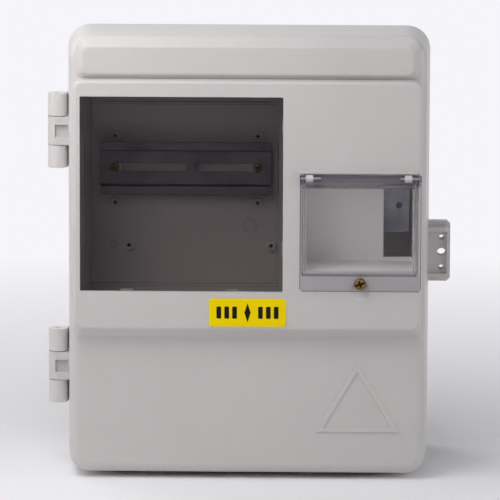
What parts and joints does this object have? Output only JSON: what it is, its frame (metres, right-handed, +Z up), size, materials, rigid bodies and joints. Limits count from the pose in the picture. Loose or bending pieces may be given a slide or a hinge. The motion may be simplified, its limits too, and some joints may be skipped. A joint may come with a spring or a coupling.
{
  "type": "electric meter box",
  "caption": "Grey plastic wall box for an electricity meter: deep hinged door with a smoked window, a clear flap over a breaker pocket, and a rear tub with rails inside.",
  "frame": {"origin": "middle of the four wall screw holes, on the back plane of the housing", "axes": "+Y into the wall, -Y out of the door, +X to the right of a person facing the door, +Z up"},
  "size_m": [0.2579, 0.138, 0.288],
  "materials": {
    "grey_shell": "satin moulded",
    "smoked_pane": "polished",
    "clear_cover": "polished",
    "black_rubber": "matt",
    "zinc_steel": "zinc plated",
    "brass_metal": "turned",
    "white_nylon": "moulded",
    "yellow_film": "gloss"
  },
  "bodies": {
    "housing": {"rear_housing": "grey_shell", "door_gasket": "black_rubber", "meter_rail": "zinc_steel", "meter_rail_screws": "brass_metal", "breaker_rail": "zinc_steel", "breaker_rail_screws": "zinc_steel", "upper_hinge_pin": "zinc_steel", "lower_hinge_pin": "zinc_steel", "grommet_left": "black_rubber", "grommet_centre": "black_rubber", "grommet_right": "black_rubber"},
    "door": {"door_shell": "grey_shell", "meter_window": "smoked_pane", "window_clips": "grey_shell", "flap_insert": "brass_metal", "label_plate": "yellow_film"},
    "flap": {"breaker_flap": "clear_cover", "flap_pivot_left": "zinc_steel", "flap_pivot_right": "zinc_steel", "flap_screw": "brass_metal", "flap_screw_retainer": "white_nylon"}
  },
  "joints": [
    {"name": "door_hinge", "type": "hinge", "parent": "housing", "child": "door", "pos_m": [-0.1222, -0.085, 0], "axis": [0, 0, -1], "range_deg": [0, 160]},
    {"name": "flap_hinge", "type": "hinge", "parent": "door", "child": "flap", "pos_m": [0.07155, -0.1332, 0.0526], "axis": [-1, 0, 0], "range_deg": [0, 105]}
  ]
}
